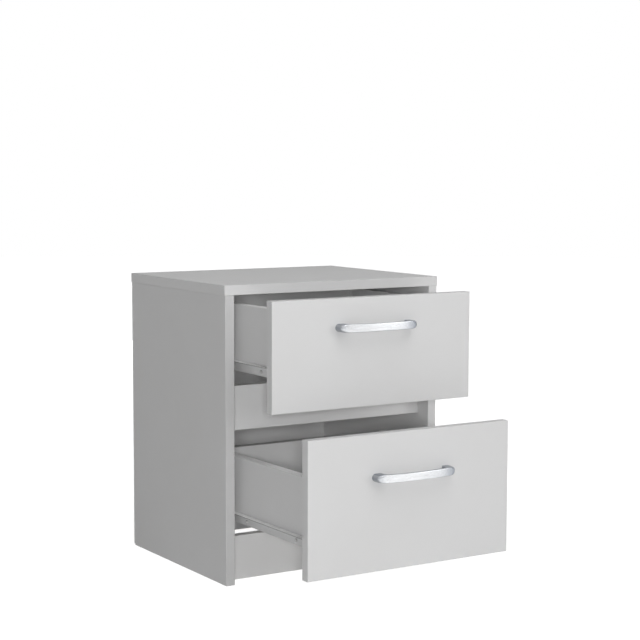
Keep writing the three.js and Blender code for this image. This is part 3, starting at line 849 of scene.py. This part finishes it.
def camera():
    """The photograph's viewpoint, found from the edges of the boards."""
    level = math.cos(CAMERA_PITCH)
    forward = Vector((
        -math.sin(CAMERA_YAW) * level, math.cos(CAMERA_YAW) * level, math.sin(CAMERA_PITCH)
    ))
    right = Vector((math.cos(CAMERA_YAW), math.sin(CAMERA_YAW), 0))
    up = right.cross(forward)
    rolled_right = right * math.cos(CAMERA_ROLL) + up * math.sin(CAMERA_ROLL)
    rolled_up = -right * math.sin(CAMERA_ROLL) + up * math.cos(CAMERA_ROLL)
    turn = Matrix((rolled_right, rolled_up, -forward)).transposed().to_4x4()
    data = bpy.data.cameras.new("camera")
    data.sensor_width = SENSOR_MM
    data.lens = FOCAL_PIXELS / PHOTO_PIXELS * SENSOR_MM
    data.clip_end = CLIP_END
    obj = added("camera", data)
    obj.matrix_world = Matrix.Translation(Vector(CAMERA_PLACE)) @ turn
    bpy.context.scene.camera = obj


def shown(tree):
    """1 for the rays that show the background: from the camera, off metal and through glass."""
    path = tree.nodes.new("ShaderNodeLightPath")
    total = path.outputs["Is Camera Ray"]
    for name in ("Is Glossy Ray", "Is Transmission Ray"):
        node = tree.nodes.new("ShaderNodeMath")
        node.operation = "MAXIMUM"
        tree.links.new(total, node.inputs[0])
        tree.links.new(path.outputs[name], node.inputs[1])
        total = node.outputs[0]
    return total


def world():
    """Even pale surroundings: white where they show, dimmer as light."""
    made = bpy.data.worlds.new("surroundings")
    bpy.context.scene.world = made
    made.use_nodes = True
    tree = made.node_tree
    background = tree.nodes["Background"]
    background.inputs["Color"].default_value = (1, 1, 1, 1)
    strength = tree.nodes.new("ShaderNodeMapRange")
    strength.inputs["To Min"].default_value = AMBIENT
    strength.inputs["To Max"].default_value = 1.0
    tree.links.new(shown(tree), strength.inputs["Value"])
    tree.links.new(strength.outputs["Result"], background.inputs["Strength"])


def floor():
    """A wide pale floor that fades to white away from the cabinet and keeps its soft shadow."""
    mesh = bpy.data.meshes.new("floor")
    shape = bmesh.new()
    bmesh.ops.create_circle(
        shape, cap_ends=True, cap_tris=True, segments=FLOOR_SEGMENTS, radius=FLOOR_RADIUS
    )
    shape.to_mesh(mesh)
    shape.free()
    obj = added("floor", mesh)
    obj.location.z = -FLOOR_DROP
    n = Nodes("floor_look")
    n.surface({
        "Base Color": FLOOR_COLOUR,
        "Roughness": FLOOR_ROUGHNESS,
        "Specular IOR Level": 0.1,
    })
    length = n.add("ShaderNodeVectorMath", operation="LENGTH")
    n.link(n.place, length.inputs[0])
    glow = n.ramp(length.outputs["Value"], *FLOOR_FADE, *FLOOR_GLOW)
    seen = n.math("MAXIMUM", shown(n.tree), FLOOR_GLOW_SHARE)
    emission = n.add("ShaderNodeEmission")
    n.link(n.math("MULTIPLY", glow, seen), emission.inputs["Strength"])
    total = n.add("ShaderNodeAddShader")
    n.link(n.shader.outputs[0], total.inputs[0])
    n.link(emission.outputs[0], total.inputs[1])
    n.link(total.outputs[0], n.output.inputs["Surface"])
    dress(obj, n.material)


def softbox(name, at, width, height, power, mirrored_in_gloss):
    """A large soft studio light aimed at the middle of the cabinet."""
    data = bpy.data.lights.new(name, "AREA")
    data.shape = "RECTANGLE"
    data.size = width
    data.size_y = height
    data.energy = power
    obj = added(name, data)
    obj.location = at
    obj.rotation_euler = (Vector(MIDDLE) - Vector(at)).to_track_quat("-Z", "Y").to_euler()
    obj.visible_glossy = mirrored_in_gloss


carried_over()
runner_screws()
back_nails()
box_fittings()
handles()
camera()
world()
floor()
for softbox_values in SOFTBOXES:
    softbox(*softbox_values)
bpy.context.scene.view_settings.view_transform = "Standard"
